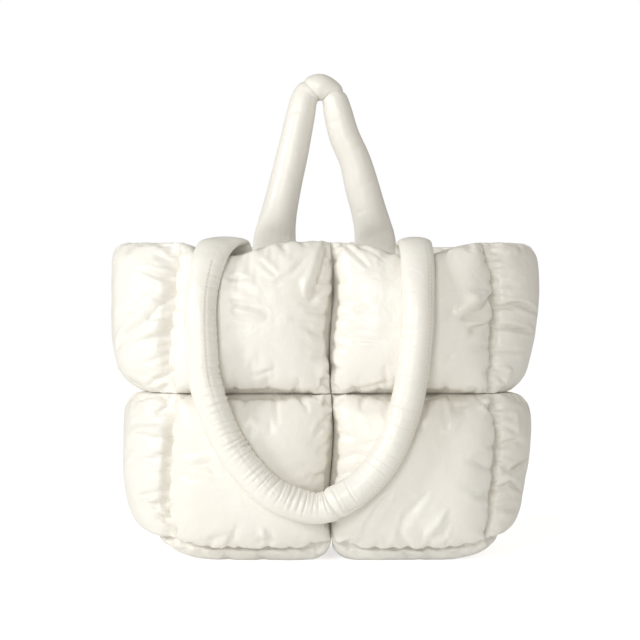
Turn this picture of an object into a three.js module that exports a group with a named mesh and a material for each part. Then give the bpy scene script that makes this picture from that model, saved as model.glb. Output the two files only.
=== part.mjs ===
// A puffer tote bag: stuffed squares sewn edge to edge into a soft box that is open at the top,
// with a stuffed tube strap on each rim. One strap hangs down the front and one stands up at the back.
// Millimetres, +Z up. The front faces -Y, the bag stands on z = 0, and the origin is under its middle.
import * as THREE from "three";

// Body
const BODY_HEIGHT = 352; // floor to the top seam of the front and back
const MID_SEAM_HEIGHT = 185; // floor to the seam between the two rows of squares
const BASE_SEAM_HEIGHT = 26; // floor to the seam round the bottom
const PANEL_WIDTH = 340; // between the corner seams at the middle seam
const BASE_DEPTH = 144; // between the front and back seams at the bottom
const TOP_DEPTH = 114; // between the front and back seams at the rim

// Stuffing
const PANEL_CROWN = 41; // how far a front or back square swells out of its seams
const LEFT_CROWN = 36;
const RIGHT_CROWN = 33;
const BASE_CROWN = 36; // before the floor flattens it
const INNER_CROWN = 11; // how far a square swells into the bag
const SEAM_THICKNESS = 2.4; // sewn layers at the edge of a square
const SEAM_GAP = 0.3; // between neighbouring pieces
const SEAM_WAVE = 2.2; // how far the upright seams wander

// The sides bow out, because their squares are wider than the bag is deep. Shares of the base's depth.
const LEFT_BOW = { base: 0.18, mid: 0.25, top: 0.39 };
const RIGHT_BOW = { base: 0.125, mid: 0.18, top: 0.28 };
const SIDE_BASE_LIFT = 12; // the side's bottom seam rises this far at its middle

// Straps
const STRAP_DIAMETER = 35;
const FRONT_STRAP_DROP = 287; // rim to the lowest point of the hanging strap's middle line
const REAR_STRAP_RISE = 187; // rim to the highest point of the standing strap's middle line
const RIM_DIP = 17; // how far the hanging strap presses the front rim down
const STRAP_DENT_DEPTH = 0.2; // share of a square's crown by which the hanging strap dents it
const STRAP_DENT_WIDTH = 0.3; // share of half a square's width over which that dent fades out
const STRAP_CLEARANCE = 0.4; // between the hanging strap and the squares it lies on

// Mesh
const SQUARE_CELLS = 14; // along each edge of a square's outer face; its inner face has half as many
const STRAP_SIDES = 12;
const FRONT_STRAP_STEPS = 60;
const REAR_STRAP_STEPS = 46;

const FRONT = -1;
const BACK = 1;
const LEFT = -1;
const RIGHT = 1;

const LEVELS = {
  base: { z: BASE_SEAM_HEIGHT, width: 0.985, halfDepth: BASE_DEPTH / 2, next: "mid" },
  mid: { z: MID_SEAM_HEIGHT, width: 1, halfDepth: BASE_DEPTH * 0.485, next: "top" },
  top: { z: BODY_HEIGHT, width: 0.97, halfDepth: TOP_DEPTH / 2 },
};
// Squares lean down at the bottom seam, where the floor's squares meet them, and a little up at the rim
const LEVEL_LEAN = { base: -1, mid: 0, top: 0.2 };
const SIDE_BOW = { [LEFT]: LEFT_BOW, [RIGHT]: RIGHT_BOW };

const mix = (a, b, share) => a + (b - a) * share;
const bump = (distance, width) => Math.exp(-((distance / width) ** 2));
const unit = (x, y, z) => new THREE.Vector3(x, y, z).normalize();
const smoothstep = (share) => {
  const s = Math.min(1, Math.max(0, share));
  return s * s * (3 - 2 * s);
};

// Where the hanging strap crosses the front rim, as shares of half the panel's width from the middle seam
const STRAP_CROSSINGS = [-0.68, 0.54];
const CROSSING_WIDTH = 0.26;

function rimDip(x, face) {
  if (face === BACK) return 0;
  const half = PANEL_WIDTH / 2;
  const dips = STRAP_CROSSINGS.map((at) => bump(x / half - at, CROSSING_WIDTH));
  return RIM_DIP * Math.max(...dips);
}

// Seams. Each is a curve of t from -1 to 1 along one axis. lean is the direction that both squares take at it.
function cornerX(level, side) {
  return (side * PANEL_WIDTH * LEVELS[level].width) / 2;
}

function panelY(level, face) {
  return face * LEVELS[level].halfDepth;
}

function uprightSeam(side, face, level) {
  const next = LEVELS[level].next;
  const seamX = (share) => mix(cornerX(level, side), cornerX(next, side), share);
  return {
    axis: "z",
    lean: unit(side, face, 0),
    at: (t) => {
      const share = (t + 1) / 2;
      const wave = SEAM_WAVE * Math.sin(2 * Math.PI * share);
      const y = mix(panelY(level, face), panelY(next, face), share);
      return new THREE.Vector3(seamX(share) - wave, y, mix(LEVELS[level].z, LEVELS[next].z, share));
    },
  };
}

// Across one half of the front or back
function crossSeam(level, face, half) {
  const from = half === LEFT ? cornerX(level, LEFT) : 0;
  const to = half === LEFT ? 0 : cornerX(level, RIGHT);
  return {
    axis: "x",
    lean: unit(0, face, LEVEL_LEAN[level]),
    at: (t) => {
      const x = mix(from, to, (t + 1) / 2);
      const dip = level === "top" ? rimDip(x, face) : 0;
      return new THREE.Vector3(x, panelY(level, face), LEVELS[level].z - dip);
    },
  };
}

// Along a side from front to back
function sideSeam(level, side) {
  return {
    axis: "y",
    lean: unit(side, 0, LEVEL_LEAN[level]),
    at: (t) => {
      const bow = 1 - t * t;
      const x = cornerX(level, side) + side * SIDE_BOW[side][level] * BASE_DEPTH * bow;
      const y = mix(panelY(level, FRONT), panelY(level, BACK), (t + 1) / 2);
      const lift = level === "base" ? SIDE_BASE_LIFT * bow : 0;
      return new THREE.Vector3(x, y, LEVELS[level].z + lift);
    },
  };
}

function floorSeam() {
  const y = (share) => mix(panelY("base", FRONT), panelY("base", BACK), share);
  return {
    axis: "y",
    lean: unit(0, 0, -1),
    at: (t) => new THREE.Vector3(0, y((t + 1) / 2), BASE_SEAM_HEIGHT),
  };
}

const reversed = (seam) => ({ ...seam, at: (t) => seam.at(-t) });

// Keeps a point on its own side of the sheet that runs through a seam and along its lean
function keepClear(point, seam, inside) {
  const [first, last] = [seam.at(-1)[seam.axis], seam.at(1)[seam.axis]];
  const t = (2 * (point[seam.axis] - first)) / (last - first) - 1;
  const onSeam = seam.at(Math.min(1, Math.max(-1, t)));
  const along = seam.at(1).sub(seam.at(-1)).normalize();
  const outward = new THREE.Vector3().crossVectors(seam.lean, along).normalize();
  if (outward.dot(inside.clone().sub(seam.at(0))) > 0) outward.negate();
  const over = outward.dot(point.clone().sub(onSeam)) + SEAM_GAP / 2;
  if (over > 0) point.addScaledVector(outward, -over);
}

// Folds, dents and gathers, pressed into the outer face along a line from (u0, v0) to (u1, v1). u and v run from
// -1 to 1 across a square. depth is a share of the square's crown, width a share of half the square's width.
const FOLDS = {
  front_upper_left: [
    { u0: -0.52, v0: 0.7, u1: -0.36, v1: -0.9, depth: 0.2, width: 0.13 },
    { u0: 0.93, v0: 1.0, u1: 0.58, v1: 0.2, depth: 0.32, width: 0.14 },
    { u0: -0.5, v0: 0.22, u1: 0.05, v1: 0.12, depth: 0.09, width: 0.1 },
    { u0: 0.95, v0: -0.3, u1: 0.65, v1: -0.45, depth: 0.16, width: 0.2 },
    { u0: 1.0, v0: -1.0, u1: 0.72, v1: -0.74, depth: 0.3, width: 0.12 },
  ],
  front_upper_right: [
    { u0: 0.44, v0: 0.95, u1: 0.4, v1: -0.1, depth: 0.26, width: 0.12 },
    { u0: 1.0, v0: 0.32, u1: 0.55, v1: 0.02, depth: 0.3, width: 0.12 },
    { u0: 1.0, v0: 0.0, u1: 0.7, v1: -0.2, depth: 0.18, width: 0.1 },
    { u0: -0.85, v0: 1.0, u1: -0.25, v1: 0.5, depth: 0.1, width: 0.1 },
    { u0: -0.95, v0: -0.1, u1: -0.6, v1: -0.5, depth: 0.1, width: 0.12 },
  ],
  front_lower_left: [
    { u0: -1.0, v0: 0.14, u1: -0.55, v1: -0.08, depth: 0.16, width: 0.14 },
    { u0: -0.05, v0: -1.0, u1: 0.02, v1: -0.78, depth: 0.3, width: 0.14 },
    { u0: 1.0, v0: 0.6, u1: 0.72, v1: 0.2, depth: 0.16, width: 0.12 },
    { u0: 1.0, v0: 1.0, u1: 0.78, v1: 0.8, depth: 0.26, width: 0.1 },
  ],
  front_lower_right: [
    { u0: 0.62, v0: 1.0, u1: 0.6, v1: 0.4, depth: 0.3, width: 0.2 },
    { u0: -0.95, v0: -0.95, u1: -0.35, v1: -0.3, depth: 0.14, width: 0.1 },
    { u0: -0.5, v0: -0.98, u1: 0.1, v1: -0.3, depth: 0.12, width: 0.11 },
    { u0: 1.0, v0: 0.9, u1: 0.74, v1: 0.72, depth: 0.2, width: 0.1 },
  ],
  left_side_upper: [
    { u0: 1.0, v0: 0.38, u1: 0.05, v1: -0.25, depth: 0.24, width: 0.12 },
    { u0: 1.0, v0: 0.78, u1: 0.45, v1: 0.8, depth: 0.2, width: 0.1 },
    { u0: 1.0, v0: -0.05, u1: 0.5, v1: -0.25, depth: 0.14, width: 0.1 },
    { u0: 0.95, v0: -0.8, u1: 0.55, v1: -0.75, depth: 0.2, width: 0.12 },
    { u0: -1.0, v0: 0.2, u1: -0.4, v1: 0.0, depth: 0.2, width: 0.12 },
    { u0: -1.0, v0: -0.5, u1: -0.55, v1: -0.55, depth: 0.16, width: 0.12 },
  ],
  left_side_lower: [
    { u0: 1.0, v0: 0.72, u1: 0.25, v1: 0.42, depth: 0.3, width: 0.12 },
    { u0: 1.0, v0: 0.1, u1: 0.4, v1: -0.02, depth: 0.14, width: 0.12 },
    { u0: 1.0, v0: -0.45, u1: 0.35, v1: -0.35, depth: 0.18, width: 0.1 },
    { u0: 0.9, v0: -0.85, u1: 0.3, v1: -0.45, depth: 0.18, width: 0.1 },
    { u0: -1.0, v0: 0.3, u1: -0.45, v1: 0.15, depth: 0.18, width: 0.12 },
  ],
  right_side_upper: [
    { u0: -0.9, v0: 0.2, u1: 0.1, v1: 0.12, depth: 0.24, width: 0.1 },
    { u0: -1.0, v0: -0.08, u1: -0.25, v1: -0.12, depth: 0.24, width: 0.1 },
    { u0: -1.0, v0: 0.62, u1: -0.6, v1: 0.55, depth: 0.16, width: 0.12 },
    { u0: -0.9, v0: -0.85, u1: -0.4, v1: -0.7, depth: 0.2, width: 0.1 },
    { u0: 1.0, v0: 0.2, u1: 0.5, v1: 0.1, depth: 0.18, width: 0.12 },
  ],
  right_side_lower: [
    { u0: -1.0, v0: 0.45, u1: -0.45, v1: 0.3, depth: 0.18, width: 0.1 },
    { u0: -1.0, v0: 0.05, u1: -0.35, v1: -0.15, depth: 0.2, width: 0.1 },
    { u0: -1.0, v0: -0.45, u1: -0.5, v1: -0.35, depth: 0.16, width: 0.1 },
    { u0: 1.0, v0: 0.25, u1: 0.5, v1: 0.2, depth: 0.16, width: 0.12 },
  ],
  back_upper_left: [
    { u0: 1.0, v0: 0.9, u1: 0.4, v1: 0.35, depth: 0.18, width: 0.12 },
    { u0: -1.0, v0: -0.2, u1: -0.5, v1: -0.1, depth: 0.14, width: 0.14 },
  ],
  back_upper_right: [
    { u0: -1.0, v0: 0.85, u1: -0.45, v1: 0.3, depth: 0.2, width: 0.12 },
    { u0: 1.0, v0: -0.3, u1: 0.55, v1: -0.2, depth: 0.14, width: 0.14 },
  ],
  back_lower_left: [
    { u0: 1.0, v0: -0.95, u1: 0.3, v1: -0.3, depth: 0.16, width: 0.12 },
    { u0: -1.0, v0: 0.3, u1: -0.45, v1: 0.2, depth: 0.14, width: 0.14 },
  ],
  back_lower_right: [
    { u0: -1.0, v0: -0.95, u1: -0.3, v1: -0.25, depth: 0.18, width: 0.12 },
    { u0: 0.5, v0: 1.0, u1: 0.55, v1: 0.5, depth: 0.2, width: 0.16 },
  ],
};

// Where the hanging strap lies on the front squares, in the same u and v
const STRAP_TRACKS = {
  front_upper_left: [{ u: -0.46, v: 1 }, { u: -0.7, v: 0.6 }, { u: -0.72, v: -0.3 }, { u: -0.67, v: -1 }],
  front_upper_right: [{ u: 0.17, v: 1 }, { u: 0.15, v: 0.2 }, { u: 0.03, v: -1 }],
  front_lower_left: [
    { u: -0.61, v: 1 },
    { u: -0.36, v: 0.41 },
    { u: -0.12, v: 0.03 },
    { u: 0.23, v: -0.3 },
    { u: 0.55, v: -0.46 },
    { u: 1, v: -0.52 },
  ],
  front_lower_right: [
    { u: -1, v: -0.46 },
    { u: -0.68, v: -0.25 },
    { u: -0.38, v: 0.06 },
    { u: -0.19, v: 0.41 },
    { u: -0.02, v: 1 },
  ],
};

// How steeply a square rises from each kind of edge: the lower, the steeper
const EDGE_SHARPNESS = { pressed: 0.28, tapered: 0.5, corner: 0.38, under: 0.3, rim: 0.26 };
const CROWN_FLATNESS = 2.7;
const INNER_SHARPNESS = 0.6;
const LEAN_REACH = 0.45; // share of the half width over which a square turns from its seam's lean to its own face

const rise = (s, sharpness) => Math.max(0, 1 - Math.abs(s) ** CROWN_FLATNESS) ** sharpness;

// How far along the line from a to b the point (u, v) stands, held between 0 and 1, and how far off it
function offLine(u, v, a, b) {
  const [du, dv] = [b.u - a.u, b.v - a.v];
  const share = ((u - a.u) * du + (v - a.v) * dv) / (du * du + dv * dv);
  const along = Math.min(1, Math.max(0, share));
  return { along, off: Math.hypot(u - a.u - along * du, v - a.v - along * dv) };
}

function dentShare(name, u, v) {
  let deepest = 0;
  for (const fold of FOLDS[name] ?? []) {
    const from = { u: fold.u0, v: fold.v0 };
    const { along, off } = offLine(u, v, from, { u: fold.u1, v: fold.v1 });
    deepest = Math.max(deepest, fold.depth * (1 - smoothstep(along)) * bump(off, fold.width));
  }
  const track = STRAP_TRACKS[name] ?? [];
  let nearest = Infinity;
  for (let k = 1; k < track.length; k++) nearest = Math.min(nearest, offLine(u, v, track[k - 1], track[k]).off);
  const pressed = STRAP_DENT_DEPTH * bump(nearest, STRAP_DENT_WIDTH);
  return 1 - (1 - deepest) * (1 - pressed);
}

function basePoint(puff, u, v) {
  const { left, right, bottom, top } = puff;
  const point = new THREE.Vector3();
  const add = (p, share) => point.addScaledVector(p, share);
  add(bottom.at(u), (1 - v) / 2);
  add(top.at(u), (1 + v) / 2);
  add(left.at(v), (1 - u) / 2);
  add(right.at(v), (1 + u) / 2);
  add(bottom.at(-1), (-(1 - u) * (1 - v)) / 4);
  add(bottom.at(1), (-(1 + u) * (1 - v)) / 4);
  add(top.at(-1), (-(1 - u) * (1 + v)) / 4);
  add(top.at(1), (-(1 + u) * (1 + v)) / 4);
  return point;
}

function faceNormal(puff, u, v) {
  const step = 0.02;
  const du = basePoint(puff, u + step, v).sub(basePoint(puff, u - step, v));
  const dv = basePoint(puff, u, v + step).sub(basePoint(puff, u, v - step));
  return du.cross(dv).normalize();
}

// At a seam a square leans as its neighbour does, so that the two meet on one surface
function swellDirection(puff, u, v) {
  const weight = (distance) => 1 - smoothstep(distance / LEAN_REACH);
  const leans = [
    [puff.left, weight(1 + u)],
    [puff.right, weight(1 - u)],
    [puff.bottom, weight(1 + v)],
    [puff.top, weight(1 - v)],
  ];
  const strongest = Math.max(...leans.map(([, w]) => w));
  const direction = faceNormal(puff, u, v).multiplyScalar(1 - strongest);
  for (const [seam, w] of leans) direction.addScaledVector(seam.lean, w);
  return direction.normalize();
}

function swell(puff, u, v) {
  const { edges } = puff;
  const across = rise(u, u < 0 ? EDGE_SHARPNESS[edges.left] : EDGE_SHARPNESS[edges.right]);
  const up = rise(v, v < 0 ? EDGE_SHARPNESS[edges.bottom] : EDGE_SHARPNESS[edges.top]);
  return across * up * puff.crown * (1 - dentShare(puff.name, u, v));
}

const innerSwell = (u, v) =>
  INNER_CROWN * ((1 - u * u) * (1 - v * v)) ** INNER_SHARPNESS;

const gridShare = (i, cells) => Math.sin((Math.PI / 2) * ((2 * i) / cells - 1));

// One face of a square as rows of points, from v = -1 to v = 1
function puffFace(puff, cells, offset) {
  const inside = basePoint(puff, 0, 0);
  const seams = [puff.left, puff.right, puff.bottom];
  if (puff.edges.top !== "rim") seams.push(puff.top);
  const rows = [];
  for (let j = 0; j <= cells; j++) {
    const row = [];
    for (let i = 0; i <= cells; i++) {
      const [u, v] = [gridShare(i, cells), gridShare(j, cells)];
      const point = basePoint(puff, u, v);
      point.addScaledVector(swellDirection(puff, u, v), offset(u, v));
      for (const seam of seams) keepClear(point, seam, inside);
      point.z = Math.max(0, point.z); // the floor flattens it
      row.push(point);
    }
    rows.push(row);
  }
  return rows;
}

// The points round a face's edge, counter-clockwise as seen from outside
function edgeLoop(rows) {
  const last = rows.length - 1;
  const loop = [];
  for (let i = 0; i < last; i++) loop.push(rows[0][i]);
  for (let j = 0; j < last; j++) loop.push(rows[j][last]);
  for (let i = last; i > 0; i--) loop.push(rows[last][i]);
  for (let j = last; j > 0; j--) loop.push(rows[j][0]);
  return loop;
}

function faceTriangles(rows, triangles, flipped) {
  const push = (a, b, c) => triangles.push(flipped ? [a, c, b] : [a, b, c]);
  for (let j = 0; j + 1 < rows.length; j++) {
    for (let i = 0; i + 1 < rows.length; i++) {
      const [a, b] = [rows[j][i], rows[j][i + 1]];
      const [d, c] = [rows[j + 1][i], rows[j + 1][i + 1]];
      push(a, b, c);
      push(a, c, d);
    }
  }
}

function geometryOf(triangles) {
  const positions = triangles.flat().flatMap((p) => p.toArray());
  const geometry = new THREE.BufferGeometry();
  geometry.setAttribute("position", new THREE.Float32BufferAttribute(positions, 3));
  geometry.computeVertexNormals();
  return geometry;
}

function puffGeometry(puff) {
  const outer = puffFace(puff, SQUARE_CELLS, (u, v) => SEAM_THICKNESS / 2 + swell(puff, u, v));
  const inner = puffFace(puff, SQUARE_CELLS / 2, (u, v) => -SEAM_THICKNESS / 2 - innerSwell(u, v));
  const triangles = [];
  faceTriangles(outer, triangles, false);
  faceTriangles(inner, triangles, true);
  const outerLoop = edgeLoop(outer);
  const innerLoop = edgeLoop(inner);
  innerLoop.forEach((from, k) => {
    const to = innerLoop[(k + 1) % innerLoop.length];
    const [first, middle, last] = [0, 1, 2].map((s) => outerLoop[(2 * k + s) % outerLoop.length]);
    triangles.push([first, from, middle], [from, to, middle], [middle, to, last]);
  });
  return geometryOf(triangles);
}

// Straps. A strap is a tube through rows of sections. x is a share of half the panel's width from the middle seam.
// reach goes from the front rim (0) to the plane in which the strap hangs (1), and is negative inside the bag.
// drop is a share of the strap's drop. facing is how far the strap's outer side has turned up from the front and on
// towards the back, in degrees. wide and thick are shares of the tube's diameter.
const FRONT_STRAP_ROWS = [
  { x: -0.64, reach: -0.24, drop: 0.13, facing: 180, wide: 1.4, thick: 0.3 },
  { x: -0.644, reach: -0.21, drop: 0.09, facing: 180, wide: 1.36, thick: 0.3 },
  { x: -0.649, reach: -0.18, drop: 0.05, facing: 165, wide: 1.32, thick: 0.31 },
  { x: -0.662, reach: -0.115, drop: 0.012, facing: 135, wide: 1.28, thick: 0.32 },
  { x: -0.679, reach: 0.03, drop: -0.002, facing: 92, wide: 1.24, thick: 0.34 },
  { x: -0.718, reach: 0.22, drop: 0.006, facing: 72, wide: 1.18, thick: 0.38 },
  { x: -0.754, reach: 0.43, drop: 0.028, facing: 48, wide: 1.12, thick: 0.47 },
  { x: -0.787, reach: 0.61, drop: 0.08, facing: 28, wide: 1.06, thick: 0.6 },
  { x: -0.813, reach: 0.69, drop: 0.145, facing: 14, wide: 1.03, thick: 0.76 },
  { x: -0.828, reach: 0.76, drop: 0.215, facing: 6, wide: 1, thick: 0.9 },
  { x: -0.832, reach: 0.82, drop: 0.3, facing: 0, wide: 1, thick: 1 },
  { x: -0.823, reach: 0.86, drop: 0.4, facing: 0, wide: 1, thick: 1 },
  { x: -0.805, reach: 0.89, drop: 0.51, facing: 0, wide: 1, thick: 1 },
  { x: -0.746, reach: 0.94, drop: 0.628, facing: 0, wide: 1, thick: 1 },
  { x: -0.658, reach: 0.98, drop: 0.747, facing: 0, wide: 1.02, thick: 1 },
  { x: -0.537, reach: 1.01, drop: 0.853, facing: 0, wide: 1.02, thick: 1 },
  { x: -0.376, reach: 1.01, drop: 0.942, facing: 0, wide: 1, thick: 1 },
  { x: -0.219, reach: 0.98, drop: 0.986, facing: 0, wide: 1, thick: 1 },
  { x: -0.068, reach: 0.96, drop: 1, facing: 0, wide: 0.94, thick: 1 },
  { x: 0.049, reach: 0.97, drop: 0.97, facing: 0, wide: 1, thick: 1 },
  { x: 0.171, reach: 0.97, drop: 0.925, facing: 0, wide: 1, thick: 1 },
  { x: 0.303, reach: 0.98, drop: 0.843, facing: 0, wide: 1, thick: 1 },
  { x: 0.397, reach: 0.97, drop: 0.747, facing: 0, wide: 1, thick: 1 },
  { x: 0.469, reach: 0.938, drop: 0.62, facing: 0, wide: 1, thick: 1 },
  { x: 0.51, reach: 0.918, drop: 0.493, facing: 0, wide: 1, thick: 1 },
  { x: 0.533, reach: 0.908, drop: 0.374, facing: 0, wide: 1, thick: 1 },
  { x: 0.547, reach: 0.888, drop: 0.27, facing: 0, wide: 1, thick: 0.96 },
  { x: 0.55, reach: 0.818, drop: 0.19, facing: 6, wide: 1.02, thick: 0.84 },
  { x: 0.549, reach: 0.728, drop: 0.12, facing: 14, wide: 1.04, thick: 0.68 },
  { x: 0.547, reach: 0.598, drop: 0.062, facing: 28, wide: 1.03, thick: 0.56 },
  { x: 0.543, reach: 0.428, drop: 0.024, facing: 48, wide: 1.04, thick: 0.47 },
  { x: 0.54, reach: 0.228, drop: 0.005, facing: 72, wide: 1.06, thick: 0.41 },
  { x: 0.537, reach: 0.028, drop: 0.004, facing: 92, wide: 1.09, thick: 0.37 },
  { x: 0.537, reach: -0.1, drop: 0.018, facing: 130, wide: 1.12, thick: 0.35 },
  { x: 0.537, reach: -0.165, drop: 0.05, facing: 165, wide: 1.16, thick: 0.33 },
  { x: 0.537, reach: -0.21, drop: 0.09, facing: 180, wide: 1.22, thick: 0.31 },
  { x: 0.537, reach: -0.24, drop: 0.13, facing: 180, wide: 1.3, thick: 0.3 },
];

// The standing strap. rise is a share of its rise above the rim, and inset a share of the tube's diameter
// from the back rim into the bag.
const REAR_STRAP_ROWS = [
  { x: -0.391, rise: -0.18, inset: 0.426, wide: 1.46, thick: 0.3 },
  { x: -0.391, rise: -0.1, inset: 0.346, wide: 1.46, thick: 0.32 },
  { x: -0.389, rise: -0.02, inset: 0.286, wide: 1.45, thick: 0.36 },
  { x: -0.383, rise: 0.06, inset: 0.286, wide: 1.4, thick: 0.5 },
  { x: -0.371, rise: 0.14, inset: 0.286, wide: 1.27, thick: 0.8 },
  { x: -0.353, rise: 0.23, inset: 0.286, wide: 1.18, thick: 0.98 },
  { x: -0.315, rise: 0.38, inset: 0.286, wide: 1.11, thick: 1.04 },
  { x: -0.274, rise: 0.545, inset: 0.286, wide: 1.07, thick: 1.04 },
  { x: -0.237, rise: 0.7, inset: 0.286, wide: 1.01, thick: 1.02 },
  { x: -0.202, rise: 0.845, inset: 0.286, wide: 0.94, thick: 1 },
  { x: -0.186, rise: 0.915, inset: 0.286, wide: 0.88, thick: 0.96 },
  { x: -0.155, rise: 0.968, inset: 0.286, wide: 0.84, thick: 0.88 },
  { x: -0.078, rise: 1, inset: 0.306, wide: 0.9, thick: 0.98 },
  { x: 0, rise: 0.968, inset: 0.286, wide: 0.82, thick: 0.86 },
  { x: 0.031, rise: 0.915, inset: 0.286, wide: 0.86, thick: 0.94 },
  { x: 0.049, rise: 0.845, inset: 0.286, wide: 0.96, thick: 1 },
  { x: 0.093, rise: 0.7, inset: 0.286, wide: 1.03, thick: 1.02 },
  { x: 0.165, rise: 0.545, inset: 0.286, wide: 1.05, thick: 1.04 },
  { x: 0.217, rise: 0.38, inset: 0.286, wide: 1.13, thick: 1.04 },
  { x: 0.263, rise: 0.23, inset: 0.286, wide: 1.16, thick: 0.98 },
  { x: 0.287, rise: 0.14, inset: 0.286, wide: 1.24, thick: 0.8 },
  { x: 0.303, rise: 0.06, inset: 0.286, wide: 1.36, thick: 0.5 },
  { x: 0.309, rise: -0.02, inset: 0.286, wide: 1.42, thick: 0.36 },
  { x: 0.311, rise: -0.1, inset: 0.346, wide: 1.43, thick: 0.32 },
  { x: 0.311, rise: -0.18, inset: 0.426, wide: 1.43, thick: 0.3 },
];

// How far from the bag's middle the strap's line hangs: it lies in dents of the squares' crowns
function hangingDepth() {
  const seamPlane = Math.max(LEVELS.base.halfDepth, LEVELS.top.halfDepth) + SEAM_THICKNESS / 2;
  return seamPlane + PANEL_CROWN * (1 - STRAP_DENT_DEPTH) + STRAP_CLEARANCE + STRAP_DIAMETER / 2;
}

const strapX = (row) => (row.x * PANEL_WIDTH) / 2;

function frontStrapSections() {
  const rimY = panelY("top", FRONT);
  const hangY = -hangingDepth();
  return FRONT_STRAP_ROWS.map((row) => ({
    ...row,
    at: new THREE.Vector3(strapX(row), mix(rimY, hangY, row.reach), BODY_HEIGHT - row.drop * FRONT_STRAP_DROP),
  }));
}

function rearStrapSections() {
  return REAR_STRAP_ROWS.map((row) => ({
    ...row,
    at: new THREE.Vector3(
      strapX(row),
      panelY("top", BACK) - row.inset * STRAP_DIAMETER,
      BODY_HEIGHT + row.rise * REAR_STRAP_RISE,
    ),
    facing: 0,
  }));
}

// A value that runs smoothly through the rows' values, found as the curve finds its points
function alongRows(sections, key) {
  const curve = new THREE.CatmullRomCurve3(sections.map((s) => new THREE.Vector3(s[key], 0, 0)));
  return (t) => curve.getPoint(t).x;
}

// Rings of points round the strap's line
function strapRings(sections, steps) {
  const line = new THREE.CatmullRomCurve3(sections.map((s) => s.at));
  line.arcLengthDivisions = 800;
  const [wide, thick, facing] = ["wide", "thick", "facing"].map((key) => alongRows(sections, key));
  const rings = [];
  for (let k = 0; k <= steps; k++) {
    const t = line.getUtoTmapping(k / steps);
    const tangent = line.getTangent(t);
    const turn = THREE.MathUtils.degToRad(facing(t));
    const out = new THREE.Vector3(0, -Math.cos(turn), Math.sin(turn));
    out.addScaledVector(tangent, -out.dot(tangent)).normalize();
    const across = new THREE.Vector3().crossVectors(out, tangent);
    const centre = line.getPoint(t);
    const ring = [];
    for (let n = 0; n < STRAP_SIDES; n++) {
      const angle = (2 * Math.PI * (n + 0.5)) / STRAP_SIDES;
      const point = centre.clone();
      point.addScaledVector(across, (Math.cos(angle) * wide(t) * STRAP_DIAMETER) / 2);
      point.addScaledVector(out, (Math.sin(angle) * thick(t) * STRAP_DIAMETER) / 2);
      ring.push(point);
    }
    rings.push({ centre, ring });
  }
  return rings;
}

function strapGeometry(sections, steps) {
  const rings = strapRings(sections, steps);
  const triangles = [];
  for (let k = 0; k < steps; k++) {
    const [near, far] = [rings[k].ring, rings[k + 1].ring];
    for (let n = 0; n < STRAP_SIDES; n++) {
      const m = (n + 1) % STRAP_SIDES;
      triangles.push([near[n], near[m], far[m]], [near[n], far[m], far[n]]);
    }
  }
  const [first, last] = [rings[0], rings[steps]];
  for (let n = 0; n < STRAP_SIDES; n++) {
    const m = (n + 1) % STRAP_SIDES;
    triangles.push([first.centre, first.ring[m], first.ring[n]]);
    triangles.push([last.centre, last.ring[n], last.ring[m]]);
  }
  return geometryOf(triangles);
}

const NYLON = new THREE.MeshStandardMaterial({ color: 0xefece2, roughness: 0.45, metalness: 0 });
const STRAP_NYLON = new THREE.MeshStandardMaterial({ color: 0xf1eee6, roughness: 0.42, metalness: 0 });

function namedMesh(name, geometry, material) {
  const mesh = new THREE.Mesh(geometry, material);
  mesh.name = name;
  return mesh;
}

const ROW_NAMES = { base: "lower", mid: "upper" };
const HALF_NAMES = { [LEFT]: "left", [RIGHT]: "right" };

function panelPuff(face, half, level) {
  const next = LEVELS[level].next;
  const faceName = face === FRONT ? "front" : "back";
  const corner = uprightSeam(half, face, level);
  const centre = uprightSeam(0, face, level);
  // u runs to the right as seen from outside, so it runs back along X on the back
  const turn = face === FRONT ? (seam) => seam : reversed;
  const cornerFirst = (half === LEFT) === (face === FRONT);
  return {
    name: `${faceName}_${ROW_NAMES[level]}_${HALF_NAMES[half]}`,
    crown: PANEL_CROWN,
    left: cornerFirst ? corner : centre,
    right: cornerFirst ? centre : corner,
    bottom: turn(crossSeam(level, face, half)),
    top: turn(crossSeam(next, face, half)),
    edges: {
      left: cornerFirst ? "corner" : "pressed",
      right: cornerFirst ? "pressed" : "corner",
      bottom: level === "base" ? "under" : "pressed",
      top: level === "base" ? "pressed" : "rim",
    },
  };
}

function sidePuff(side, level) {
  const next = LEVELS[level].next;
  const turn = side === RIGHT ? (seam) => seam : reversed;
  const firstFace = side === RIGHT ? FRONT : BACK;
  return {
    name: `${HALF_NAMES[side]}_side_${ROW_NAMES[level]}`,
    crown: side === LEFT ? LEFT_CROWN : RIGHT_CROWN,
    left: uprightSeam(side, firstFace, level),
    right: uprightSeam(side, -firstFace, level),
    bottom: turn(sideSeam(level, side)),
    top: turn(sideSeam(next, side)),
    edges: {
      left: "corner",
      right: "corner",
      bottom: level === "base" ? "under" : "tapered",
      top: level === "base" ? "pressed" : "rim",
    },
  };
}

function bottomPuff(half) {
  const side = reversed(sideSeam("base", half));
  const centre = reversed(floorSeam());
  return {
    name: `bottom_${HALF_NAMES[half]}`,
    crown: BASE_CROWN,
    left: half === LEFT ? side : centre,
    right: half === LEFT ? centre : side,
    bottom: crossSeam("base", BACK, half),
    top: crossSeam("base", FRONT, half),
    edges: {
      left: half === LEFT ? "corner" : "pressed",
      right: half === LEFT ? "pressed" : "corner",
      bottom: "corner",
      top: "corner",
    },
  };
}

const bag = new THREE.Group();
const puffs = [];
for (const level of ["mid", "base"]) {
  for (const face of [FRONT, BACK]) {
    for (const half of [LEFT, RIGHT]) puffs.push(panelPuff(face, half, level));
  }
  for (const side of [LEFT, RIGHT]) puffs.push(sidePuff(side, level));
}
for (const half of [LEFT, RIGHT]) puffs.push(bottomPuff(half));
for (const puff of puffs) bag.add(namedMesh(puff.name, puffGeometry(puff), NYLON));

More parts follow.
